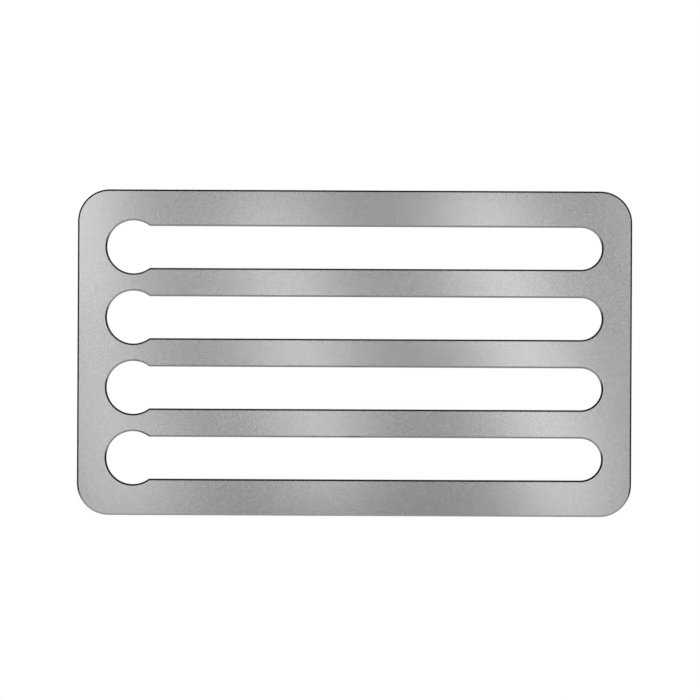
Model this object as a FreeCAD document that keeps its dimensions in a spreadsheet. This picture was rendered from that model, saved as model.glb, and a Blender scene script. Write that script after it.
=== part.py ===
import FreeCAD, Part
import math
import os

import Sketcher

# Wall-held storage rack: a flat stainless steel plate with keyhole tracks, standing off the wall on
# magnetic feet. Millimetres. X runs to the right along the tracks, Z is up, the front faces -Y.
# The wall is the plane y = 0, and the origin is on it, behind the middle of the plate.

# Driving dimensions. Each name is an alias in the document's spreadsheet.
SIZES = {
    # what hangs in the tracks: a round body with a wider rim, which runs behind the plate
    "body_diameter": 29.6,
    "rim_diameter": 37.1,
    # the sheet and its keyhole tracks
    "plate_thickness": 2.0,
    "corner_radius": 23.0,
    "row_count": 4,
    "track_play": 0.6,  # between the body and the track's two sides
    "entry_play": 1.1,  # between the rim and the round entry
    "track_run": 322.8,  # from the centre of the entry to the centre of the track's round end
    "neck_lip": 0.3,  # radius of the point where entry and track meet, at the front of the bevel
    "bar_height": 20.5,  # metal left between two tracks
    "rail_height": 26.35,  # metal above the top track and below the bottom one
    "entry_margin": 21.2,  # metal to the left of the entries
    "end_margin": 21.8,  # metal to the right of the tracks
    "front_bevel": 1.25,
    # welded stud
    "stud_diameter": 4.0,
    "flange_lip": 0.75,  # how far the flange stands out round the stud
    "flange_thickness": 0.8,
    # magnet in its steel cup, which has a threaded bush, under a rubber cap
    "bush_diameter": 7.0,
    "bush_height": 2.2,
    "thread_play": 0.1,  # on the diameter, between the stud and the bush
    "thread_cap": 0.6,  # closes the thread at the magnet
    "stud_end_gap": 0.6,  # from the stud's end to the bottom of the thread
    "cup_diameter": 16.0,
    "cup_base": 2.0,
    "cup_wall": 1.2,
    "magnet_thickness": 3.0,
    "magnet_play": 0.2,  # round the magnet in its cup
    "rubber_skin": 1.0,
    "boot_bevel": 0.6,
    # bumper behind the middle of a bar or rail
    "bumper_rim_gap": 1.8,  # from the bumper to the rims that pass above and below it
    "bumper_bevel": 0.8,
    "tape_inset": 0.5,
    "tape_thickness": 0.5,
}

# What follows from the driving dimensions, as formulas in the same spreadsheet.
FORMULAS = {
    "track_width": "body_diameter + track_play",
    "entry_diameter": "rim_diameter + entry_play",
    "rim_overlap": "(rim_diameter - track_width) / 2",
    "neck_radius": "front_bevel + neck_lip",
    "row_pitch": "track_width + bar_height",
    "plate_height": "(row_count - 1) * row_pitch + track_width + 2 * rail_height",
    "plate_length": "entry_margin + entry_diameter / 2 + track_run + track_width / 2 + end_margin",
    "entry_offset": "plate_length / 2 - entry_margin - entry_diameter / 2",
    "end_offset": "plate_length / 2 - end_margin - track_width / 2",
    "first_row_drop": "(row_count - 1) * row_pitch / 2",
    "cup_height": "cup_base + magnet_thickness",
    "magnet_height": "cup_height + rubber_skin",
    "standoff": "flange_thickness + bush_height + magnet_height",
    "side_foot_offset": "plate_length / 2 - corner_radius",
    "rail_support_offset": "plate_height / 2 - (rail_height - rim_overlap) / 2",
    "stud_radius": "stud_diameter / 2",
    "stud_length": "flange_thickness + thread_depth - stud_end_gap",
    "flange_radius": "stud_radius + flange_lip",
    "thread_radius": "(stud_diameter + thread_play) / 2",
    "thread_depth": "cup_floor - thread_cap",
    "bush_radius": "bush_diameter / 2",
    "cup_radius": "cup_diameter / 2",
    "cup_inner_radius": "cup_radius - cup_wall",
    "cup_floor": "bush_height + cup_base",
    "cup_rim": "bush_height + cup_height",
    "magnet_radius": "cup_inner_radius - magnet_play",
    "boot_radius": "cup_radius + rubber_skin",
    "boot_face_radius": "boot_radius - boot_bevel",
    "boot_bevel_start": "magnet_height - boot_bevel",
    "bumper_radius": "(row_pitch - rim_diameter) / 2 - bumper_rim_gap",
    "bumper_face_radius": "bumper_radius - bumper_bevel",
    "bumper_height": "standoff - tape_thickness",
    "bumper_bevel_start": "bumper_height - bumper_bevel",
    "tape_radius": "bumper_radius - tape_inset",
}

FEET = {
    "top_left": (-1, 1),
    "top_right": (1, 1),
    "bottom_left": (-1, -1),
    "bottom_right": (1, -1),
}

ORIGIN_POINT = (-1, 1)
START, END, CENTRE = range(1, 4)

doc = FreeCAD.newDocument("KeyholeRack")
sheet = doc.addObject("Spreadsheet::Sheet", "Sizes")


def fill_sheet():
    rows = [(name, str(number)) for name, number in SIZES.items()]
    rows += [(name, "=" + formula) for name, formula in FORMULAS.items()]
    for row, (name, content) in enumerate(rows, start=1):
        sheet.set(f"A{row}", name)
        sheet.set(f"B{row}", content)
        sheet.setAlias(f"B{row}", name)
    doc.recompute()


def value(name):
    return float(sheet.get(name))


def vector(x, y):
    return FreeCAD.Vector(x, y, 0)


def new_body(label, x=None, y=None, z=None):
    """A body at a place given by expressions in the sheet's names."""
    body = doc.addObject("PartDesign::Body", label)
    body.Label = label
    for axis, expression in (("x", x), ("y", y), ("z", z)):
        if expression:
            body.setExpression(f"Placement.Base.{axis}", expression)
    return body


def new_sketch(body, name, role):
    """An empty sketch on one of the body's own origin planes."""
    sketch = body.newObject("Sketcher::SketchObject", name)
    plane = next(f for f in body.Origin.OriginFeatures if f.Role == role)
    sketch.AttachmentSupport = [(plane, "")]
    sketch.MapMode = "FlatFace"
    return sketch


def dimension(sketch, name, alias, *constraint):
    """Adds a named dimension and binds it to an alias of the sheet."""
    index = sketch.addConstraint(Sketcher.Constraint(*constraint, value(alias)))
    sketch.renameConstraint(index, name)
    sketch.setExpression(f"Constraints.{name}", f"Sizes.{alias}")


def hold_point(sketch, geometry, point, across, along):
    """Holds a point at two aliases' distances from the origin, None meaning on the axis."""
    label = f"p{sketch.ConstraintCount}"
    if across:
        dimension(sketch, f"{label}_x", across, "DistanceX", *ORIGIN_POINT, geometry, point)
    else:
        sketch.addConstraint(Sketcher.Constraint("Vertical", geometry, point, *ORIGIN_POINT))
    if along:
        dimension(sketch, f"{label}_y", along, "DistanceY", *ORIGIN_POINT, geometry, point)
    else:
        sketch.addConstraint(Sketcher.Constraint("Horizontal", geometry, point, *ORIGIN_POINT))


def add_polygon(sketch, corners):
    """A closed outline through corners given as pairs of aliases, None meaning zero."""
    points = [vector(*(value(alias) if alias else 0 for alias in corner)) for corner in corners]
    edges = []
    for start, end in zip(points, points[1:] + points[:1]):
        edges.append(sketch.addGeometry(Part.LineSegment(start, end)))
    for edge, following in zip(edges, edges[1:] + edges[:1]):
        sketch.addConstraint(Sketcher.Constraint("Coincident", edge, END, following, START))
    for edge, corner in zip(edges, corners):
        hold_point(sketch, edge, START, *corner)


def turn(body, name, corners):
    """A solid turned about the body's Y axis from a profile of (radius, distance) aliases."""
    sketch = new_sketch(body, f"{name}_profile", "XY_Plane")
    add_polygon(sketch, corners)
    revolution = body.newObject("PartDesign::Revolution", name)
    revolution.Profile = sketch
    revolution.ReferenceAxis = (sketch, ["V_Axis"])
    revolution.Angle = 360
    doc.recompute()


def face_towards(shape, side):
    """Name of the shape's outermost flat face that looks along Y in this direction."""
    best = None
    for index, face in enumerate(shape.Faces, start=1):
        if not isinstance(face.Surface, Part.Plane):
            continue
        if face.normalAt(0, 0).y * side < 0.999:
            continue
        reach = face.CenterOfMass.y * side
        if best is None or reach > best[0]:
            best = (reach, f"Face{index}")
    return best[1]


def bevel_face(body, base, name, side, alias):
    """Bevels every edge of the face that looks forward (-1) or back (1)."""
    bevel = body.newObject("PartDesign::Chamfer", name)
    bevel.Base = (base, [face_towards(base.Shape, side)])
    bevel.setExpression("Size", f"Sizes.{alias}")
    doc.recompute()


def tangent_joint(sketch, first, first_end, second, second_end):
    sketch.addConstraint(Sketcher.Constraint("Tangent", first, first_end, second, second_end))


def draw_plate_outline(sketch):
    """The rounded rectangle of the sheet, centred on the sketch's origin."""
    half_length = value("plate_length") / 2
    half_height = value("plate_height") / 2
    radius = value("corner_radius")
    inner_x = half_length - radius
    inner_z = half_height - radius
    bottom = Part.LineSegment(vector(-inner_x, -half_height), vector(inner_x, -half_height))
    right = Part.LineSegment(vector(half_length, -inner_z), vector(half_length, inner_z))
    top = Part.LineSegment(vector(inner_x, half_height), vector(-inner_x, half_height))
    left = Part.LineSegment(vector(-half_length, inner_z), vector(-half_length, -inner_z))
    corner_centres = [(inner_x, -inner_z), (inner_x, inner_z), (-inner_x, inner_z), (-inner_x, -inner_z)]
    arcs = []
    for quarter, centre in enumerate(corner_centres):
        circle = Part.Circle(vector(*centre), FreeCAD.Vector(0, 0, 1), radius)
        start = (quarter - 1) * math.pi / 2
        arcs.append(Part.ArcOfCircle(circle, start, start + math.pi / 2))
    sides = [sketch.addGeometry(side) for side in (bottom, right, top, left)]
    corners = [sketch.addGeometry(arc) for arc in arcs]
    for index, corner in enumerate(corners):
        tangent_joint(sketch, sides[index], END, corner, START)
        tangent_joint(sketch, corner, END, sides[(index + 1) % 4], START)
    for side in (sides[0], sides[2]):
        sketch.addConstraint(Sketcher.Constraint("Horizontal", side))
    for side in (sides[1], sides[3]):
        sketch.addConstraint(Sketcher.Constraint("Vertical", side))
    for corner in corners[1:]:
        sketch.addConstraint(Sketcher.Constraint("Equal", corners[0], corner))
    sketch.addConstraint(
        Sketcher.Constraint("Symmetric", corners[0], CENTRE, corners[2], CENTRE, *ORIGIN_POINT)
    )
    dimension(sketch, "radius", "corner_radius", "Radius", corners[0])
    dimension(sketch, "length", "plate_length", "DistanceX", sides[3], START, sides[1], START)
    dimension(sketch, "height", "plate_height", "DistanceY", sides[0], START, sides[2], START)


def draw_keyhole(sketch):
    """The bottom row's opening: a round entry, a rounded neck, and a straight track to a round end."""
    entry_radius = value("entry_diameter") / 2
    half_width = value("track_width") / 2
    neck_radius = value("neck_radius")
    entry = vector(-value("entry_offset"), -value("first_row_drop"))
    end = vector(value("end_offset"), -value("first_row_drop"))
    # the neck's centre lies in the metal, a neck radius outside both the entry and the track
    rise = half_width + neck_radius
    reach = math.sqrt((entry_radius + neck_radius) ** 2 - rise**2)
    bearing = math.atan2(rise, reach)
    up = FreeCAD.Vector(0, 0, 1)
    entry_circle = Part.Circle(entry, up, entry_radius)
    upper_neck_circle = Part.Circle(entry + vector(reach, rise), up, neck_radius)
    lower_neck_circle = Part.Circle(entry + vector(reach, -rise), up, neck_radius)
    end_circle = Part.Circle(end, up, half_width)
    quarter = math.pi / 2
    entry_arc = sketch.addGeometry(Part.ArcOfCircle(entry_circle, bearing, 4 * quarter - bearing))
    upper_neck = sketch.addGeometry(
        Part.ArcOfCircle(upper_neck_circle, 2 * quarter + bearing, 3 * quarter)
    )
    lower_neck = sketch.addGeometry(
        Part.ArcOfCircle(lower_neck_circle, quarter, 2 * quarter - bearing)
    )
    end_arc = sketch.addGeometry(Part.ArcOfCircle(end_circle, -quarter, quarter))
    upper_side = sketch.addGeometry(
        Part.LineSegment(entry + vector(reach, half_width), end + vector(0, half_width))
    )
    lower_side = sketch.addGeometry(
        Part.LineSegment(entry + vector(reach, -half_width), end + vector(0, -half_width))
    )
    tangent_joint(sketch, entry_arc, START, upper_neck, START)
    tangent_joint(sketch, upper_neck, END, upper_side, START)
    tangent_joint(sketch, upper_side, END, end_arc, END)
    tangent_joint(sketch, end_arc, START, lower_side, END)
    tangent_joint(sketch, lower_side, START, lower_neck, START)
    tangent_joint(sketch, lower_neck, END, entry_arc, END)
    sketch.addConstraint(Sketcher.Constraint("Horizontal", upper_side))
    sketch.addConstraint(Sketcher.Constraint("Horizontal", lower_side))
    sketch.addConstraint(Sketcher.Constraint("Horizontal", entry_arc, CENTRE, end_arc, CENTRE))
    sketch.addConstraint(Sketcher.Constraint("Equal", upper_neck, lower_neck))
    dimension(sketch, "neck", "neck_radius", "Radius", upper_neck)
    dimension(sketch, "entry", "entry_diameter", "Diameter", entry_arc)
    dimension(sketch, "width", "track_width", "Diameter", end_arc)
    dimension(sketch, "run", "track_run", "DistanceX", entry_arc, CENTRE, end_arc, CENTRE)
    dimension(sketch, "left", "entry_offset", "DistanceX", entry_arc, CENTRE, *ORIGIN_POINT)
    dimension(sketch, "drop", "first_row_drop", "DistanceY", entry_arc, CENTRE, *ORIGIN_POINT)


def make_front_plate():
    body = new_body("front_plate", y="-Sizes.standoff")
    outline = new_sketch(body, "plate_outline", "XZ_Plane")
    draw_plate_outline(outline)
    blank = body.newObject("PartDesign::Pad", "plate_blank")
    blank.Profile = outline
    blank.setExpression("Length", "Sizes.plate_thickness")
    doc.recompute()
    keyhole = new_sketch(body, "keyhole_outline", "XZ_Plane")
    draw_keyhole(keyhole)
    track = body.newObject("PartDesign::Pocket", "keyhole_track")
    track.Profile = keyhole
    track.Type = "ThroughAll"
    track.Reversed = True
    doc.recompute()
    rows = body.newObject("PartDesign::LinearPattern", "rows_of_tracks")
    rows.Originals = [track]
    rows.Direction = (keyhole, ["V_Axis"])
    rows.Mode = "Spacing"
    rows.setExpression("Offset", "Sizes.row_pitch")
    rows.setExpression("Occurrences", "Sizes.row_count")
    body.Tip = rows
    doc.recompute()
    bevel_face(body, rows, "front_bevels", -1, "front_bevel")
    return body


def make_weld_stud(label, x, z):
    body = new_body(label, x, "-Sizes.standoff", z)
    turn(
        body,
        f"{label}_turned",
        [
            (None, None),
            ("flange_radius", None),
            ("flange_radius", "flange_thickness"),
            ("stud_radius", "flange_thickness"),
            ("stud_radius", "stud_length"),
            (None, "stud_length"),
        ],
    )
    return body


def make_magnet_cup(label, x, z):
    """A steel cup, open to the wall, with a blind threaded bush that seats on the stud's flange."""
    body = new_body(label, x, "-Sizes.standoff + Sizes.flange_thickness", z)
    turn(
        body,
        f"{label}_turned",
        [
            ("thread_radius", None),
            ("bush_radius", None),
            ("bush_radius", "bush_height"),
            ("cup_radius", "bush_height"),
            ("cup_radius", "cup_rim"),
            ("cup_inner_radius", "cup_rim"),
            ("cup_inner_radius", "cup_floor"),
            (None, "cup_floor"),
            (None, "thread_depth"),
            ("thread_radius", "thread_depth"),
        ],
    )
    return body


def make_disc_magnet(label, x, z):
    body = new_body(label, x, "-Sizes.magnet_height + Sizes.cup_base", z)
    corners = [
        (None, None),
        ("magnet_radius", None),
        ("magnet_radius", "magnet_thickness"),
        (None, "magnet_thickness"),
    ]
    turn(body, f"{label}_turned", corners)
    return body


def make_rubber_boot(label, x, z):
    """The rubber cap slipped over the cup: its side and the face that grips the wall."""
    body = new_body(label, x, "-Sizes.magnet_height", z)
    turn(
        body,
        f"{label}_turned",
        [
            ("cup_radius", None),
            ("boot_radius", None),
            ("boot_radius", "boot_bevel_start"),
            ("boot_face_radius", "magnet_height"),
            (None, "magnet_height"),
            (None, "cup_height"),
            ("cup_radius", "cup_height"),
        ],
    )
    return body


def make_bumper_tape(label, z):
    body = new_body(label, None, "-Sizes.standoff", z)
    corners = [
        (None, None),
        ("tape_radius", None),
        ("tape_radius", "tape_thickness"),
        (None, "tape_thickness"),
    ]
    turn(body, f"{label}_turned", corners)
    return body


def make_wall_bumper(label, z):
    """A rubber button from the tape to the wall."""
    body = new_body(label, None, "-Sizes.standoff + Sizes.tape_thickness", z)
    corners = [
        (None, None),
        ("bumper_radius", None),
        ("bumper_radius", "bumper_bevel_start"),
        ("bumper_face_radius", "bumper_height"),
        (None, "bumper_height"),
    ]
    turn(body, f"{label}_turned", corners)
    return body


def make_foot(corner, side, level):
    """The four pieces of one magnetic foot, stacked from the plate to the wall."""
    x = f"{side} * Sizes.side_foot_offset"
    z = f"{level} * Sizes.rail_support_offset"
    return [
        make_weld_stud(f"weld_stud_{corner}", x, z),
        make_magnet_cup(f"magnet_cup_{corner}", x, z),
        make_disc_magnet(f"disc_magnet_{corner}", x, z),
        make_rubber_boot(f"rubber_boot_{corner}", x, z),
    ]


def make_bumpers():
    """Tape and bumper behind the middle of the rails and of each inner bar, numbered from the top."""
    rows = int(value("row_count"))
    bars = [f"Sizes.first_row_drop - {row - 0.5} * Sizes.row_pitch" for row in range(1, rows)]
    levels = ["Sizes.rail_support_offset", *bars, "-Sizes.rail_support_offset"]
    bodies = []
    for number, z in enumerate(levels, start=1):
        bodies.append(make_bumper_tape(f"bumper_tape_{number}", z))
        bodies.append(make_wall_bumper(f"wall_bumper_{number}", z))
    return bodies


def check(bodies):
    doc.recompute()
    for item in doc.Objects:
        if "Invalid" in item.State or "Error" in item.State:
            raise RuntimeError(f"{item.Label} failed: {item.State}")
        if item.TypeId == "Sketcher::SketchObject" and not item.FullyConstrained:
            raise RuntimeError(f"{item.Label} is not fully constrained")
    for body in bodies:
        if body.Shape.isNull() or not body.Shape.isValid() or len(body.Shape.Solids) != 1:
            raise RuntimeError(f"{body.Label} is not one valid solid")
    plate = next(body for body in bodies if body.Label == "front_plate")
    blank = doc.getObject("plate_blank").Shape.Volume
    half_width = value("track_width") / 2
    straight = value("track_run") * value("track_width") * value("plate_thickness")
    round_end = math.pi * half_width**2 / 2 * value("plate_thickness")
    least_cut = value("row_count") * (straight + round_end)
    if blank - plate.Shape.Volume < least_cut:
        raise RuntimeError("the tracks are not all cut")


def export(bodies):
    os.makedirs("parts", exist_ok=True)
    for body in bodies:
        body.Shape.exportStep(f"parts/{body.Label}.step")
        print(f"{body.Label}: {body.Shape.Volume:.1f} mm3")


def main():
    fill_sheet()
    bodies = [make_front_plate()]
    for corner, (side, level) in FEET.items():
        bodies += make_foot(corner, side, level)
    bodies += make_bumpers()
    check(bodies)
    export(bodies)


main()
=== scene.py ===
"""Looks of the wall-hung track holder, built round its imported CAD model.

Pieces are drawn in millimetres, and place_piece turns them to metres. The stage is in metres.
"""
import math

import bmesh
import bpy
from mathutils import Matrix, Vector


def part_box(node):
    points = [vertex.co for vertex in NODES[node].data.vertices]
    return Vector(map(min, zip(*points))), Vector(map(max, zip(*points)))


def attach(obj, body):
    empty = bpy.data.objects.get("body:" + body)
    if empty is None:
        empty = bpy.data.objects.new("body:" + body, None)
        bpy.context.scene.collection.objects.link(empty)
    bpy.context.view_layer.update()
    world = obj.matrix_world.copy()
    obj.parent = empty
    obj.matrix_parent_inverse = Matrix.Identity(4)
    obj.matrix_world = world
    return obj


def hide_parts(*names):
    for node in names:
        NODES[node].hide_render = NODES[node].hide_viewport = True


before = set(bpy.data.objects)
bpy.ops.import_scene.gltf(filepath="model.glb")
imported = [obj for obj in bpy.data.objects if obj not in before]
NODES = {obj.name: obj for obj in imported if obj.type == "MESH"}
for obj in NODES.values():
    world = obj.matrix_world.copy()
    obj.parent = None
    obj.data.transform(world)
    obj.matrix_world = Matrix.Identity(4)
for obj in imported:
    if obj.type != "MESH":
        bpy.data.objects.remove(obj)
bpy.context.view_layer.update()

bl_info = {
    "name": "Track holder",
    "version": (1, 0, 0),
    "blender": (4, 5, 0),
    "location": "3D View > Sidebar > Holder",
    "description": "Dresses the sheet steel holder, its magnet feet and its wall bumpers",
    "category": "Object",
}

MM = 0.001
TURN_STEPS = 72
SMOOTH_ANGLE = math.radians(35)
CORNERS = ("top_left", "top_right", "bottom_left", "bottom_right")
BUMPERS = tuple(name[len("wall_bumper_"):] for name in sorted(NODES) if name.startswith("wall_bumper_"))


def node_size(node):
    """Middle, radius and the two ends along Y of a turned CAD node, in millimetres."""
    low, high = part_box(node)
    middle = (low + high) / 2 / MM
    return middle, (high.x - low.x) / 2 / MM, low.y / MM, high.y / MM


def colour(hex_text):
    """An sRGB hex colour as linear light, with full alpha."""
    shares = [int(hex_text[place:place + 2], 16) / 255 for place in (1, 3, 5)]
    return [s / 12.92 if s <= 0.04045 else ((s + 0.055) / 1.055) ** 2.4 for s in shares] + [1.0]


def length(name, default, description):
    """A length property, kept in millimetres."""
    described = description + ", in millimetres"
    return bpy.props.FloatProperty(name=name, default=default, min=0, description=described)


def paint(name, hex_text, description):
    """A colour property whose default is written as sRGB hex."""
    return bpy.props.FloatVectorProperty(
        name=name, subtype="COLOR", size=4, min=0, max=1, default=colour(hex_text), description=description
    )


class HolderSizes(bpy.types.PropertyGroup):
    """Small sizes of the feet and bumpers that the CAD solids leave plain."""

    thread_radius: length("Thread radius", 2.0, "Outer radius of the M4 thread on the studs")
    thread_pitch: length("Thread pitch", 0.7, "Pitch of the M4 thread on studs and in cups")
    thread_depth: length("Thread depth", 0.38, "Depth of the thread grooves")
    thread_play: length("Thread play", 0.05, "Gap between the stud and the cup's bore")
    run_out: length("Run-out", 0.1, "Plain length between a thread and the shoulder next to it")
    lead_in: length("Lead-in", 0.35, "Bevel at the tips of the studs, and rounding of their flanges")
    countersink: length("Countersink", 0.3, "Depth of the countersink at the mouth of the cup's bore")
    bore_depth: length("Bore depth", 3.6, "Depth of the threaded bore in the cup")
    bush_radius: length("Bush radius", 3.5, "Outer radius of the cup's bush")
    magnet_play: length("Magnet play", 0.2, "Gap between the magnet and the cup's wall")
    drawn_corner: length("Drawn corner", 0.9, "Radius where the cup's base turns into its wall")
    edge_break: length("Edge break", 0.2, "Rounding of the turned and plated edges")
    groove_width: length("Groove width", 0.55, "Width of the grip grooves in the rubber cap")
    groove_depth: length("Groove depth", 0.35, "Depth of the grip grooves in the rubber cap's face")
    groove_step: length("Groove step", 1.6, "Distance from one grip groove to the next")
    outer_groove: length("Outer groove", 7.0, "Radius of the outermost grip groove in the cap's face")
    side_groove: length("Side groove", 1.7, "From the cap's open end to the first groove round it")
    side_groove_depth: length("Side groove depth", 0.2, "Depth of the two grooves round the rubber cap")
    cap_rounding: length("Cap rounding", 0.6, "Rounding of the rubber cap's wall edge")
    gate_radius: length("Gate radius", 1.5, "Radius of the sunk mark that the mould's gate leaves")
    gate_depth: length("Gate depth", 0.15, "Depth of the gate's mark")
    film_thickness: length("Film thickness", 0.06, "Thickness of each adhesive film on the foam discs")
    foam_inset: length("Foam inset", 0.1, "How far the cut edge of the foam lies inside its films")
    bumper_rounding: length("Bumper rounding", 0.8, "Rounding of the bumper's wall edge")
    bumper_draft: length("Bumper draft", 0.25, "How much narrower the bumper is at the wall")
    bumper_base: length("Bumper base", 0.9, "Height of the bumper's straight base on the sheet")
    bumper_step: length("Bumper step", 0.12, "How far the bumper steps in above its base")
    dimple_depth: length("Dimple depth", 0.5, "Depth of the hollow in the bumper's wall face")


class HolderColours(bpy.types.PropertyGroup):
    """Colours of the finishes."""

    sheet: paint("Sheet steel", "#BDBDBD", "Satin face of the stainless sheet")
    # The bevel colour is darker than the face as painted shade, which draws a dark outline round the sheet
    # and its tracks.
    bevel: paint("Bevel", "#989896", "Ground bevels round the sheet and its tracks")
    cut_wall: paint("Cut wall", "#6E6C69", "Laser-cut walls, dulled by the heat of the cut")
    stud: paint("Stud", "#B3B2AF", "Plain stainless steel of the welded studs")
    zinc: paint("Zinc", "#B9BDC2", "Blue-white zinc plating of the magnet cups")
    nickel: paint("Nickel", "#CBC7BF", "Nickel plating of the disc magnets")
    cap_rubber: paint("Cap rubber", "#232325", "Black moulded rubber round the magnet cups")
    bumper_rubber: paint("Bumper rubber", "#3B3B3D", "Dark grey moulded rubber of the bumpers")
    foam: paint("Foam", "#DAD9D2", "Closed-cell foam of the adhesive discs")


class HolderStage(bpy.types.PropertyGroup):
    """Camera, floor and light."""

    focal_length: bpy.props.FloatProperty(
        name="Focal length", default=135, unit="CAMERA", description="Lens of the product camera"
    )
    camera_distance: length("Camera distance", 1893, "From the camera to the front of the sheet")
    camera_left: length("Camera left", 3.3, "How far the camera stands left of the middle")
    camera_up: length("Camera up", 2.3, "How far the camera stands above the middle")
    camera_lean: bpy.props.FloatProperty(
        name="Camera lean", default=math.radians(0.26), subtype="ANGLE",
        description="How far the camera leans to the left",
    )
    floor_drop: length("Floor drop", 380, "How far the floor lies below the middle")
    floor_radius: length("Floor radius", 940, "Where the floor has faded away")
    even_light: bpy.props.FloatProperty(
        name="Even light", default=0.66, min=0, description="Strength of the light from all sides"
    )
    room_light: bpy.props.FloatProperty(
        name="Room light", default=0.78, min=0, description="Strength of the walls that metal sees"
    )
    lens_cloth: bpy.props.FloatProperty(
        name="Lens cloth", default=0.42, min=0, description="Strength of what metal sees round the camera"
    )


def add_node(tree, kind, sockets=None, **settings):
    """Adds a node with its settings. Each socket takes a value, or a link from another node's socket."""
    node = tree.nodes.new(kind)
    for name, value in settings.items():
        setattr(node, name, value)
    for key, value in (sockets or {}).items():
        if isinstance(value, bpy.types.NodeSocket):
            tree.links.new(value, node.inputs[key])
        else:
            node.inputs[key].default_value = value
    return node


def start_material(name):
    """A material with an empty node tree."""
    material = bpy.data.materials.new(name)
    material.use_nodes = True
    material.node_tree.nodes.clear()
    return material, material.node_tree


def per_mm(size):
    """Noise scale, on Object coordinates in metres, for features that are size millimetres across."""
    return 1 / (size * MM)


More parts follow.
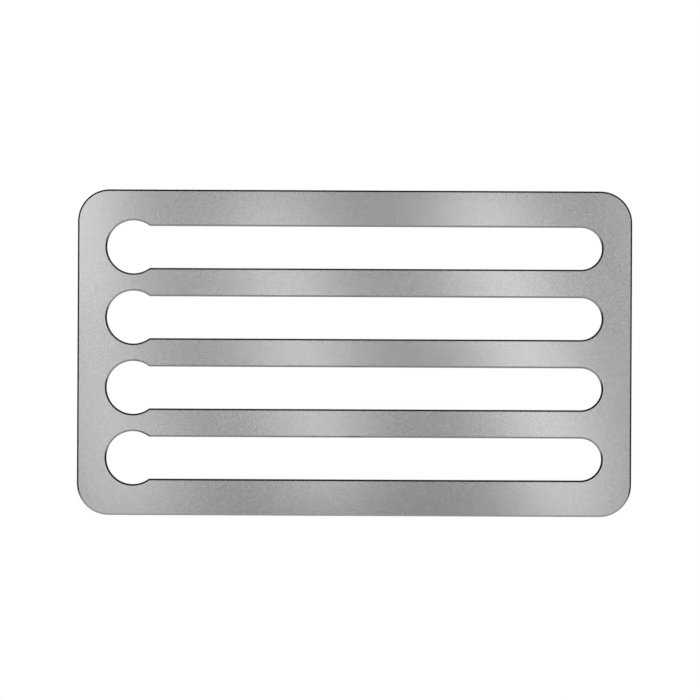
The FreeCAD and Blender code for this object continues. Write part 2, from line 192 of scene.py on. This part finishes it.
def satin_stainless_sheet(colours):
    """Cold-rolled stainless sheet, fine ground to a satin face, laser cut, its front edges bevelled."""
    material, tree = start_material("stainless_sheet_satin_laser_cut")
    place = add_node(tree, "ShaderNodeTexCoord")
    facing = add_node(tree, "ShaderNodeSeparateXYZ", {0: place.outputs["Normal"]}).outputs["Y"]
    flatness = add_node(tree, "ShaderNodeMath", {0: facing}, operation="ABSOLUTE").outputs[0]
    on_face = add_node(tree, "ShaderNodeMath", {0: flatness, 1: 0.9}, operation="GREATER_THAN").outputs[0]
    on_wall = add_node(tree, "ShaderNodeMath", {0: flatness, 1: 0.3}, operation="LESS_THAN").outputs[0]
    on_back = add_node(tree, "ShaderNodeMath", {0: facing, 1: 0.9}, operation="GREATER_THAN").outputs[0]

    # The grit leaves a fine even grain. The real one is too fine to show, so it is drawn 0.8 mm across.
    grain = add_node(
        tree, "ShaderNodeTexNoise",
        {"Vector": place.outputs["Object"], "Scale": per_mm(0.8), "Detail": 3.0, "Roughness": 0.6},
    ).outputs["Fac"]
    grain_tone = add_node(
        tree, "ShaderNodeMapRange", {0: grain, 1: 0.35, 2: 0.65, 3: 0.875, 4: 1.125}
    ).outputs[0]
    # Handling leaves cloudy patches a few centimetres across, a little duller than the rest.
    cloud = add_node(
        tree, "ShaderNodeTexNoise",
        {"Vector": place.outputs["Object"], "Scale": per_mm(38), "Detail": 3.0, "Roughness": 0.5},
    ).outputs["Fac"]
    cloud_tone = add_node(
        tree, "ShaderNodeMapRange", {0: cloud, 1: 0.3, 2: 0.7, 3: 0.99, 4: 1.01}
    ).outputs[0]
    face_tone = add_node(
        tree, "ShaderNodeMath", {0: grain_tone, 1: cloud_tone}, operation="MULTIPLY"
    ).outputs[0]
    face_colour = add_node(
        tree, "ShaderNodeVectorMath", {0: colours.sheet[:3], "Scale": face_tone}, operation="SCALE"
    ).outputs[0]

    # The laser leaves fine lines straight through the thickness, about 0.4 mm apart.
    through = add_node(
        tree, "ShaderNodeMapping",
        {"Vector": place.outputs["Object"], "Scale": (per_mm(0.4), per_mm(12), per_mm(0.4))},
    ).outputs[0]
    lines = add_node(
        tree, "ShaderNodeTexNoise", {"Vector": through, "Scale": 1.0, "Detail": 2.0, "Roughness": 0.6}
    ).outputs["Fac"]
    line_tone = add_node(
        tree, "ShaderNodeMapRange", {0: lines, 1: 0.3, 2: 0.7, 3: 0.84, 4: 1.12}
    ).outputs[0]
    # The bevels take a colour darker than the face, painted shade that draws their dark outline; the cut
    # walls take the dark oxide of the cut.
    painted_shade_bevel_and_oxide_wall = add_node(
        tree, "ShaderNodeMix", {0: on_wall, 6: colours.bevel, 7: colours.cut_wall}, data_type="RGBA"
    ).outputs[2]
    edge_colour = add_node(
        tree, "ShaderNodeVectorMath", {0: painted_shade_bevel_and_oxide_wall, "Scale": line_tone}, operation="SCALE"
    ).outputs[0]

    # Stud welding tints the back of the sheet: blue next to the stud, then brown, straw and bare steel.
    low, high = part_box("weld_stud_top_right")
    mirrored = add_node(
        tree, "ShaderNodeVectorMath", {0: place.outputs["Object"]}, operation="ABSOLUTE"
    ).outputs[0]
    aside = add_node(
        tree, "ShaderNodeVectorMath", {0: mirrored, 1: ((low.x + high.x) / 2, 0, (low.z + high.z) / 2)},
        operation="SUBTRACT",
    ).outputs[0]
    flat = add_node(tree, "ShaderNodeVectorMath", {0: aside, 1: (1, 0, 1)}, operation="MULTIPLY").outputs[0]
    from_stud = add_node(tree, "ShaderNodeVectorMath", {0: flat}, operation="LENGTH").outputs["Value"]
    heat = add_node(
        tree, "ShaderNodeMapRange", {0: from_stud, 1: 2.5 * MM, 2: 8 * MM, 3: 0, 4: 1}
    ).outputs[0]
    tint = add_node(tree, "ShaderNodeValToRGB", {0: heat})
    stops = tint.color_ramp.elements
    stops[0].color = colour("#8A93AB")
    stops[1].color = colour("#FFFFFF")
    stops.new(0.25).color = colour("#B79C8E")
    stops.new(0.5).color = colour("#E6D3A6")
    tinted = add_node(
        tree, "ShaderNodeMix", {0: on_back, 6: face_colour, 7: tint.outputs["Color"]},
        data_type="RGBA", blend_type="MULTIPLY",
    ).outputs[2]
    base = add_node(
        tree, "ShaderNodeMix", {0: on_face, 6: edge_colour, 7: tinted}, data_type="RGBA"
    ).outputs[2]

    face_rough = add_node(
        tree, "ShaderNodeMapRange", {0: grain, 1: 0.25, 2: 0.75, 3: 0.18, 4: 0.22}
    ).outputs[0]
    edge_rough = add_node(
        tree, "ShaderNodeMix", {0: on_wall, 2: 0.22, 3: 0.4}, data_type="FLOAT"
    ).outputs[0]
    rough = add_node(
        tree, "ShaderNodeMix", {0: on_face, 2: edge_rough, 3: face_rough}, data_type="FLOAT"
    ).outputs[0]
    relief = add_node(tree, "ShaderNodeMix", {0: on_face, 2: lines, 3: grain}, data_type="FLOAT").outputs[0]
    bump = add_node(
        tree, "ShaderNodeBump", {"Height": relief, "Strength": 0.5, "Distance": 0.006 * MM}
    ).outputs[0]
    steel = add_node(
        tree, "ShaderNodeBsdfPrincipled",
        {"Base Color": base, "Metallic": 1.0, "Roughness": rough, "Normal": bump},
    )
    add_node(tree, "ShaderNodeOutputMaterial", {"Surface": steel.outputs[0]})
    return material


def plated_metal(name, tint, grain_mm, roughness, spread, tone_spread):
    """A plain or plated metal whose fine pattern changes its tone and gloss a little."""
    material, tree = start_material(name)
    place = add_node(tree, "ShaderNodeTexCoord")
    pattern = add_node(
        tree, "ShaderNodeTexNoise",
        {"Vector": place.outputs["Object"], "Scale": per_mm(grain_mm), "Detail": 4.0, "Roughness": 0.6},
    ).outputs["Fac"]
    tone = add_node(
        tree, "ShaderNodeMapRange", {0: pattern, 1: 0.3, 2: 0.7, 3: 1 - tone_spread, 4: 1 + tone_spread}
    ).outputs[0]
    base = add_node(
        tree, "ShaderNodeVectorMath", {0: tint[:3], "Scale": tone}, operation="SCALE"
    ).outputs[0]
    rough = add_node(
        tree, "ShaderNodeMapRange",
        {0: pattern, 1: 0.3, 2: 0.7, 3: roughness - spread, 4: roughness + spread},
    ).outputs[0]
    bump = add_node(
        tree, "ShaderNodeBump", {"Height": pattern, "Strength": 0.4, "Distance": 0.01 * MM}
    ).outputs[0]
    metal = add_node(
        tree, "ShaderNodeBsdfPrincipled",
        {"Base Color": base, "Metallic": 1.0, "Roughness": rough, "Normal": bump},
    )
    add_node(tree, "ShaderNodeOutputMaterial", {"Surface": metal.outputs[0]})
    return material


def moulded_rubber(name, tint, roughness):
    """Synthetic rubber from a spark-eroded mould, which leaves a fine dull grain, with a little bloom."""
    material, tree = start_material(name)
    place = add_node(tree, "ShaderNodeTexCoord")
    # The mould's grain is about 0.25 mm across.
    grain = add_node(
        tree, "ShaderNodeTexNoise",
        {"Vector": place.outputs["Object"], "Scale": per_mm(0.25), "Detail": 3.0, "Roughness": 0.6},
    ).outputs["Fac"]
    # Wax bloom and dust make paler patches a few millimetres across.
    bloom = add_node(
        tree, "ShaderNodeTexNoise",
        {"Vector": place.outputs["Object"], "Scale": per_mm(4), "Detail": 4.0, "Roughness": 0.6},
    ).outputs["Fac"]
    tone = add_node(tree, "ShaderNodeMapRange", {0: bloom, 1: 0.35, 2: 0.75, 3: 0.9, 4: 1.5}).outputs[0]
    base = add_node(
        tree, "ShaderNodeVectorMath", {0: tint[:3], "Scale": tone}, operation="SCALE"
    ).outputs[0]
    rough = add_node(
        tree, "ShaderNodeMapRange", {0: bloom, 1: 0.3, 2: 0.7, 3: roughness - 0.07, 4: roughness + 0.07}
    ).outputs[0]
    bump = add_node(
        tree, "ShaderNodeBump", {"Height": grain, "Strength": 0.6, "Distance": 0.04 * MM}
    ).outputs[0]
    rubber = add_node(
        tree, "ShaderNodeBsdfPrincipled",
        {"Base Color": base, "Roughness": rough, "IOR": 1.52, "Normal": bump},
    )
    add_node(tree, "ShaderNodeOutputMaterial", {"Surface": rubber.outputs[0]})
    return material


def closed_cell_foam(colours):
    """Die-cut polyethylene foam tape: pale, dull, with cells about 0.2 mm across on its cut edge."""
    material, tree = start_material("closed_cell_foam_tape")
    place = add_node(tree, "ShaderNodeTexCoord")
    cells = add_node(
        tree, "ShaderNodeTexVoronoi", {"Vector": place.outputs["Object"], "Scale": per_mm(0.2)}
    ).outputs["Distance"]
    tone = add_node(tree, "ShaderNodeMapRange", {0: cells, 1: 0.0, 2: 0.8, 3: 1.03, 4: 0.88}).outputs[0]
    base = add_node(
        tree, "ShaderNodeVectorMath", {0: colours.foam[:3], "Scale": tone}, operation="SCALE"
    ).outputs[0]
    bump = add_node(
        tree, "ShaderNodeBump", {"Height": cells, "Strength": 0.7, "Distance": 0.05 * MM}
    ).outputs[0]
    foam = add_node(
        tree, "ShaderNodeBsdfPrincipled", {"Base Color": base, "Roughness": 0.85, "Normal": bump}
    )
    add_node(tree, "ShaderNodeOutputMaterial", {"Surface": foam.outputs[0]})
    return material


def turn(profile):
    """Spins a profile of (radius, y) points round the Y axis, and closes its poles and seam."""
    shape = bmesh.new()
    points = [shape.verts.new((radius, along, 0)) for radius, along in profile]
    edges = [shape.edges.new(pair) for pair in zip(points, points[1:])]
    bmesh.ops.spin(
        shape, geom=points + edges, cent=(0, 0, 0), axis=(0, 1, 0), angle=math.tau, steps=TURN_STEPS,
        use_merge=True,
    )
    bmesh.ops.remove_doubles(shape, verts=shape.verts, dist=0.0005)
    bmesh.ops.recalc_face_normals(shape, faces=shape.faces)
    return shape


def round_rings(shape, rings, segments=3):
    """Rounds the circular edges that lie at each (radius, y), by the given amount in millimetres."""
    for radius, along, amount in rings:
        edges = []
        for edge in shape.edges:
            ends = [(math.hypot(v.co.x, v.co.z), v.co.y) for v in edge.verts]
            if all(abs(r - radius) < 0.01 and abs(y - along) < 0.01 for r, y in ends):
                edges.append(edge)
        bmesh.ops.bevel(
            shape, geom=edges, offset=amount, offset_type="OFFSET", segments=segments, profile=0.5,
            affect="EDGES", material=-1, clamp_overlap=True,
        )


def thread(inner, outer, start, end, pitch):
    """Profile points of a thread drawn as ring grooves between two places on the axis."""
    turns = max(1, round((end - start) / pitch))
    step = (end - start) / turns
    crest, root = 0.06 * step, 0.44 * step
    points = []
    for number in range(turns):
        low, high = start + number * step, start + (number + 1) * step
        points += [(outer, low + crest), (inner, low + root)]
        points += [(inner, high - root), (outer, high - crest)]
    return points


def place_piece(name, shape, node, material):
    """Puts a shape, drawn round the Y axis, where its CAD node is, and lets it stand for that node."""
    middle = node_size(node)[0]
    bmesh.ops.translate(shape, verts=shape.verts, vec=(middle.x, 0, middle.z))
    bmesh.ops.scale(shape, verts=shape.verts, vec=(MM, MM, MM))
    for face in shape.faces:
        face.smooth = True
    for edge in shape.edges:
        if edge.calc_face_angle(0) > SMOOTH_ANGLE:
            edge.smooth = False
    mesh = bpy.data.meshes.new(name)
    shape.to_mesh(mesh)
    shape.free()
    piece = bpy.data.objects.new(name, mesh)
    bpy.context.scene.collection.objects.link(piece)
    piece.data.materials.append(material)
    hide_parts(node)
    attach(piece, "root")


class DressSheet(bpy.types.Operator):
    """Gives the front plate its satin steel, its cut edges and the weld tint on its back"""

    bl_idname = "holder.dress_sheet"
    bl_label = "Front plate finish"

    def execute(self, context):
        sheet = NODES["front_plate"]
        sheet.data.materials.clear()
        sheet.data.materials.append(satin_stainless_sheet(context.scene.holder_colours))
        return {"FINISHED"}


class MakeStuds(bpy.types.Operator):
    """Makes the four threaded studs with their welded flanges"""

    bl_idname = "holder.make_studs"
    bl_label = "Weld studs"

    def execute(self, context):
        sizes, colours = context.scene.holder_sizes, context.scene.holder_colours
        # Cold-headed stainless steel: a bright, slightly drawn surface.
        metal = plated_metal(
            "stainless_stud_cold_headed", colours.stud,
            grain_mm=0.5, roughness=0.3, spread=0.05, tone_spread=0.06,
        )
        for corner in CORNERS:
            node = f"weld_stud_{corner}"
            flange_radius, foot, tip = node_size(node)[1:]
            flange_top = node_size(f"magnet_cup_{corner}")[2]
            radius = sizes.thread_radius
            root = radius - sizes.thread_depth
            profile = [(0, foot), (flange_radius, foot), (flange_radius, flange_top), (radius, flange_top)]
            bevel_start = tip - sizes.lead_in
            thread_start, thread_end = flange_top + sizes.run_out, bevel_start - sizes.run_out / 2
            profile += thread(root, radius, thread_start, thread_end, sizes.thread_pitch)
            profile += [(radius, bevel_start), (radius - sizes.lead_in, tip), (0, tip)]
            shape = turn(profile)
            round_rings(shape, [(flange_radius, flange_top, sizes.lead_in)])
            place_piece(f"threaded_stud_{corner}", shape, node, metal)
        return {"FINISHED"}


class MakeCups(bpy.types.Operator):
    """Makes the four drawn steel cups with their threaded bushes"""

    bl_idname = "holder.make_cups"
    bl_label = "Magnet cups"

    def execute(self, context):
        sizes, colours = context.scene.holder_sizes, context.scene.holder_colours
        # Zinc plating, blue passivated: pale, faintly cloudy, half bright.
        metal = plated_metal(
            "steel_cup_zinc_plated", colours.zinc,
            grain_mm=1.2, roughness=0.32, spread=0.07, tone_spread=0.07,
        )
        for corner in CORNERS:
            node = f"magnet_cup_{corner}"
            outer, bush_end, rim = node_size(node)[1:]
            magnet_radius, floor = node_size(f"disc_magnet_{corner}")[1:3]
            wall = magnet_radius + sizes.magnet_play
            back = node_size(f"rubber_boot_{corner}")[2]
            bush, bore_end = sizes.bush_radius, bush_end + sizes.bore_depth
            bore = sizes.thread_radius + sizes.thread_play
            groove = bore + sizes.thread_depth
            profile = [(0, floor), (wall, floor), (wall, rim), (outer, rim), (outer, back), (bush, back)]
            profile += [(bush, bush_end), (groove, bush_end)]
            thread_start, thread_end = bush_end + sizes.countersink, bore_end - sizes.run_out
            profile += thread(groove, bore, thread_start, thread_end, sizes.thread_pitch)
            profile += [(bore, bore_end), (0, bore_end)]
            shape = turn(profile)
            edges = ((bush, bush_end), (outer, rim), (wall, rim), (bush, back))
            round_rings(shape, [(outer, back, sizes.drawn_corner)])
            round_rings(shape, [(*edge, sizes.edge_break) for edge in edges])
            place_piece(f"drawn_cup_{corner}", shape, node, metal)
        return {"FINISHED"}


class MakeMagnets(bpy.types.Operator):
    """Makes the four disc magnets that lie in the cups"""

    bl_idname = "holder.make_magnets"
    bl_label = "Disc magnets"

    def execute(self, context):
        sizes, colours = context.scene.holder_sizes, context.scene.holder_colours
        # Sintered and tumbled, then nickel plated: mirror-like over a faint pitted skin.
        metal = plated_metal(
            "sintered_magnet_nickel_plated", colours.nickel,
            grain_mm=0.6, roughness=0.14, spread=0.04, tone_spread=0.03,
        )
        for corner in CORNERS:
            node = f"disc_magnet_{corner}"
            radius, floor, face = node_size(node)[1:]
            shape = turn([(0, floor), (radius, floor), (radius, face), (0, face)])
            round_rings(shape, [(radius, floor, sizes.edge_break), (radius, face, sizes.edge_break)])
            place_piece(f"nickel_disc_{corner}", shape, node, metal)
        return {"FINISHED"}


class MakeCaps(bpy.types.Operator):
    """Makes the four rubber caps with grip grooves in their wall faces"""

    bl_idname = "holder.make_caps"
    bl_label = "Rubber caps"

    def execute(self, context):
        sizes, colours = context.scene.holder_sizes, context.scene.holder_colours
        rubber = moulded_rubber("black_rubber_compression_moulded", colours.cap_rubber, roughness=0.62)
        half = sizes.groove_width / 2
        side_grooves, face_grooves = 2, 3
        gate_taper, outer_lip, inner_lip = 0.2, 0.25, 0.2
        for corner in CORNERS:
            node = f"rubber_boot_{corner}"
            radius, open_end, face = node_size(node)[1:]
            cup_radius, _, cup_rim = node_size(f"magnet_cup_{corner}")[1:]
            profile = [(0, cup_rim), (cup_radius, cup_rim), (cup_radius, open_end), (radius, open_end)]
            groove_floor = radius - sizes.side_groove_depth
            for number in range(side_grooves):
                along = open_end + sizes.side_groove + number * sizes.groove_step
                profile += [(radius, along - half), (groove_floor, along - half / 2)]
                profile += [(groove_floor, along + half / 2), (radius, along + half)]
            profile += [(radius, face)]
            groove_floor = face - sizes.groove_depth
            for number in range(face_grooves):
                middle = sizes.outer_groove - number * sizes.groove_step
                profile += [(middle + half, face), (middle + half / 2, groove_floor)]
                profile += [(middle - half / 2, groove_floor), (middle - half, face)]
            # The gate of the mould leaves a small sunk disc in the middle.
            gate, gate_floor = sizes.gate_radius, face - sizes.gate_depth
            profile += [(gate, face), (gate - gate_taper, gate_floor), (0, gate_floor)]
            shape = turn(profile)
            round_rings(shape, [(radius, face, sizes.cap_rounding)])
            round_rings(shape, [(radius, open_end, outer_lip), (cup_radius, open_end, inner_lip)])
            place_piece(f"rubber_cap_{corner}", shape, node, rubber)
        return {"FINISHED"}


class MakeTapes(bpy.types.Operator):
    """Makes the foam discs with their two adhesive films"""

    bl_idname = "holder.make_tapes"
    bl_label = "Foam tapes"

    def execute(self, context):
        sizes = context.scene.holder_sizes
        foam = closed_cell_foam(context.scene.holder_colours)
        film, film_edge = sizes.film_thickness, 0.036
        foam_start = film + film_edge
        for number in BUMPERS:
            node = f"bumper_tape_{number}"
            radius, low, high = node_size(node)[1:]
            waist = radius - sizes.foam_inset
            profile = [(0, low), (radius, low), (radius, low + film), (waist, low + foam_start)]
            profile += [(waist, high - foam_start), (radius, high - film), (radius, high), (0, high)]
            place_piece(f"foam_disc_{number}", turn(profile), node, foam)
        return {"FINISHED"}


class MakeBumpers(bpy.types.Operator):
    """Makes the rubber bumpers that keep the bars off the wall"""

    bl_idname = "holder.make_bumpers"
    bl_label = "Wall bumpers"

    def execute(self, context):
        sizes, colours = context.scene.holder_sizes, context.scene.holder_colours
        rubber = moulded_rubber("grey_rubber_injection_moulded", colours.bumper_rubber, roughness=0.55)
        step_height, foot_rounding, dimple_rounding = 0.15, 0.2, 0.3
        dimple_share, floor_share = 0.52, 0.7
        for number in BUMPERS:
            node = f"wall_bumper_{number}"
            radius, low, high = node_size(node)[1:]
            narrow = radius - sizes.bumper_draft
            dimple = narrow * dimple_share
            dimple_end, dimple_floor = dimple * floor_share, high - sizes.dimple_depth
            base = low + sizes.bumper_base
            profile = [(0, low), (radius, low), (radius, base)]
            profile += [(radius - sizes.bumper_step, base + step_height), (narrow, high)]
            profile += [(dimple, high), (dimple_end, dimple_floor), (0, dimple_floor)]
            shape = turn(profile)
            rings = [(narrow, high, sizes.bumper_rounding), (radius, low, foot_rounding)]
            rings += [(dimple, high, dimple_rounding), (dimple_end, dimple_floor, dimple_rounding)]
            round_rings(shape, rings, segments=4)
            place_piece(f"rubber_bumper_{number}", shape, node, rubber)
        return {"FINISHED"}


def add_light(name, place, target, size, radiance, lean_degrees=0.0, seen_by_metal=True):
    """A soft rectangular lamp in metres that looks at a point, and that the camera doesn't see."""
    lamp = bpy.data.lights.new(name, "AREA")
    lamp.shape = "RECTANGLE"
    lamp.size, lamp.size_y = size
    lamp.energy = radiance * math.pi * size[0] * size[1]
    light = bpy.data.objects.new(name, lamp)
    aim = (Vector(target) - Vector(place)).to_track_quat("-Z", "Y").to_matrix().to_4x4()
    lean = Matrix.Rotation(math.radians(lean_degrees), 4, "Z")
    light.matrix_world = Matrix.Translation(place) @ aim @ lean
    light.visible_camera = False
    light.visible_glossy = seen_by_metal
    bpy.context.scene.collection.objects.link(light)


def studio_world(stage):
    """White to the camera. Metal sees a pale room, grey round the camera, with an arch of dark cloth."""
    world = bpy.data.worlds.new("studio")
    world.use_nodes = True
    tree = world.node_tree
    tree.nodes.clear()
    path = add_node(tree, "ShaderNodeLightPath")
    direction = add_node(tree, "ShaderNodeTexCoord").outputs["Generated"]
    parts = add_node(tree, "ShaderNodeSeparateXYZ", {0: direction})
    # The cloth is an arch over the holder, in its plane. It darkens the bevels that face up and sideways.
    off_plane = add_node(tree, "ShaderNodeMath", {0: parts.outputs["Y"]}, operation="ABSOLUTE").outputs[0]
    beside_arch = add_node(
        tree, "ShaderNodeMapRange", {0: off_plane, 1: 0.32, 2: 0.5, 3: 0.02, 4: 1.0},
        interpolation_type="SMOOTHSTEP",
    ).outputs[0]
    below_arch = add_node(
        tree, "ShaderNodeMapRange", {0: parts.outputs["Z"], 1: -0.6, 2: -0.15, 3: 1.0, 4: 0.02},
        interpolation_type="SMOOTHSTEP",
    ).outputs[0]
    cloth = add_node(
        tree, "ShaderNodeMath", {0: beside_arch, 1: below_arch}, operation="MAXIMUM"
    ).outputs[0]
    room = add_node(
        tree, "ShaderNodeMapRange",
        {0: parts.outputs["Y"], 1: -0.97, 2: -0.84, 3: stage.lens_cloth, 4: stage.room_light},
        interpolation_type="SMOOTHSTEP",
    ).outputs[0]
    backdrop = add_node(
        tree, "ShaderNodeMapRange", {0: parts.outputs["Y"], 1: -0.4, 2: 0.5, 3: room, 4: 1.0},
        interpolation_type="SMOOTHSTEP",
    ).outputs[0]
    # The lower half of the room is a little darker than the upper half.
    height = add_node(
        tree, "ShaderNodeMapRange", {0: parts.outputs["Z"], 1: -0.12, 2: 0.12, 3: 0.82, 4: 1.10}
    ).outputs[0]
    shaded = add_node(tree, "ShaderNodeMath", {0: backdrop, 1: height}, operation="MULTIPLY").outputs[0]
    seen_by_metal = add_node(
        tree, "ShaderNodeMath", {0: cloth, 1: shaded}, operation="MULTIPLY"
    ).outputs[0]
    shiny = add_node(
        tree, "ShaderNodeMath",
        {0: path.outputs["Is Glossy Ray"], 1: path.outputs["Is Transmission Ray"]}, operation="MAXIMUM",
    ).outputs[0]
    unlit = add_node(
        tree, "ShaderNodeMix", {0: shiny, 2: stage.even_light, 3: seen_by_metal}, data_type="FLOAT"
    ).outputs[0]
    strength = add_node(
        tree, "ShaderNodeMix", {0: path.outputs["Is Camera Ray"], 2: unlit, 3: 1.0}, data_type="FLOAT"
    ).outputs[0]
    background = add_node(tree, "ShaderNodeBackground", {"Color": (1, 1, 1, 1), "Strength": strength})
    add_node(tree, "ShaderNodeOutputWorld", {"Surface": background.outputs[0]})
    return world


def painted_floor(radius):
    """Matt white paint on a smooth board, which fades into the white background."""
    material, tree = start_material("studio_floor_matt_white")
    place = add_node(tree, "ShaderNodeTexCoord").outputs["Object"]
    middle = add_node(
        tree, "ShaderNodeVectorMath", {0: place, 1: (1, 1, 0)}, operation="MULTIPLY"
    ).outputs[0]
    out = add_node(tree, "ShaderNodeVectorMath", {0: middle}, operation="LENGTH").outputs["Value"]
    fade = add_node(
        tree, "ShaderNodeMapRange", {0: out, 1: radius * 0.3, 2: radius * 0.98, 3: 0.0, 4: 1.0},
        interpolation_type="SMOOTHSTEP",
    ).outputs[0]
    matt = add_node(tree, "ShaderNodeBsdfDiffuse", {"Color": colour("#F2F2F1")})
    # Metal sees the floor as white, like the background.
    white = add_node(tree, "ShaderNodeEmission", {"Color": (1, 1, 1, 1), "Strength": 1.0})
    seen_by_metal = add_node(tree, "ShaderNodeLightPath").outputs["Is Glossy Ray"]
    painted = add_node(
        tree, "ShaderNodeMixShader", {0: seen_by_metal, 1: matt.outputs[0], 2: white.outputs[0]}
    )
    clear = add_node(tree, "ShaderNodeBsdfTransparent")
    shown = add_node(tree, "ShaderNodeMixShader", {0: fade, 1: painted.outputs[0], 2: clear.outputs[0]})
    add_node(tree, "ShaderNodeOutputMaterial", {"Surface": shown.outputs[0]})
    return material


class MakeStage(bpy.types.Operator):
    """Makes the floor, the soft lights, the white surroundings and the product camera"""

    bl_idname = "holder.make_stage"
    bl_label = "Stage"

    def execute(self, context):
        scene = context.scene
        stage = scene.holder_stage
        scene.world = studio_world(stage)

        board = bmesh.new()
        radius = stage.floor_radius * MM
        bmesh.ops.create_circle(board, cap_ends=True, radius=radius, segments=96)
        bmesh.ops.translate(board, verts=board.verts, vec=(0, 0, -stage.floor_drop * MM))
        mesh = bpy.data.meshes.new("studio_floor")
        board.to_mesh(mesh)
        board.free()
        floor = bpy.data.objects.new("studio_floor", mesh)
        scene.collection.objects.link(floor)
        floor.data.materials.append(painted_floor(radius))

        # Slanted strips between camera and holder give the steel its soft upright bands. Each has its place
        # across and up, its lean in degrees, its length and its radiance.
        strips = (
            (-0.312, 0.19, 8, 0.28, 1.95), (-0.274, -0.08, 8, 0.26, 1.4), (-0.212, -0.14, 10, 0.16, 0.5),
            (-0.062, 0.01, 13, 0.36, 1.5), (0.192, -0.01, 17, 0.44, 1.8), (0.388, 0.08, 10, 0.44, 1.5),
        )
        before_wall, strip_width = -1.0, 0.07
        for number, (across, up, lean, tall, radiance) in enumerate(strips, 1):
            place, target = (across, before_wall, up), (across, 0, up)
            size = (strip_width, tall)
            add_light(f"strip_{number}", place, target, size, radiance, lean_degrees=lean)
        # The key lamp gives the floor its shadow. Metal doesn't mirror it, so the bevels stay dark.
        middle = (0, 0, 0)
        add_light("key", (-0.8, -1.1, 1.5), middle, size=(0.4, 0.4), radiance=26.0, seen_by_metal=False)
        add_light("fill", (1.3, -0.9, 1.1), middle, size=(0.9, 0.9), radiance=0.6)
        add_light("back", (0.5, 1.6, 1.2), middle, size=(1.0, 0.8), radiance=0.7)

        camera_data = bpy.data.cameras.new("product_camera")
        camera_data.lens = stage.focal_length
        camera_data.sensor_width = 36
        camera = bpy.data.objects.new("product_camera", camera_data)
        scene.collection.objects.link(camera)
        before_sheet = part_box("front_plate")[0].y - stage.camera_distance * MM
        camera.location = (-stage.camera_left * MM, before_sheet, stage.camera_up * MM)
        camera.rotation_euler = (math.radians(90), -stage.camera_lean, 0)
        scene.camera = camera
        scene.view_settings.view_transform = "Standard"
        return {"FINISHED"}


OPERATORS = (DressSheet, MakeStuds, MakeCups, MakeMagnets, MakeCaps, MakeTapes, MakeBumpers, MakeStage)


class HolderPanel(bpy.types.Panel):
    """Lists the steps that dress the holder"""

    bl_idname = "VIEW3D_PT_holder"
    bl_label = "Track holder"
    bl_space_type = "VIEW_3D"
    bl_region_type = "UI"
    bl_category = "Holder"

    def draw(self, context):
        for operator in OPERATORS:
            self.layout.operator(operator.bl_idname)
        for name in GROUPS:
            group, box = getattr(context.scene, name), self.layout.box()
            for size in group.__annotations__:
                box.prop(group, size)


GROUPS = {"holder_sizes": HolderSizes, "holder_colours": HolderColours, "holder_stage": HolderStage}


def register():
    for group in (*GROUPS.values(), *OPERATORS, HolderPanel):
        bpy.utils.register_class(group)
    for name, group in GROUPS.items():
        setattr(bpy.types.Scene, name, bpy.props.PointerProperty(type=group))


def unregister():
    for name in GROUPS:
        delattr(bpy.types.Scene, name)
    for group in (HolderPanel, *reversed(OPERATORS), *reversed(GROUPS.values())):
        bpy.utils.unregister_class(group)


def main():
    register()
    for operator in OPERATORS:
        getattr(bpy.ops.holder, operator.bl_idname.split(".")[1])()


if __name__ == "__main__":
    main()
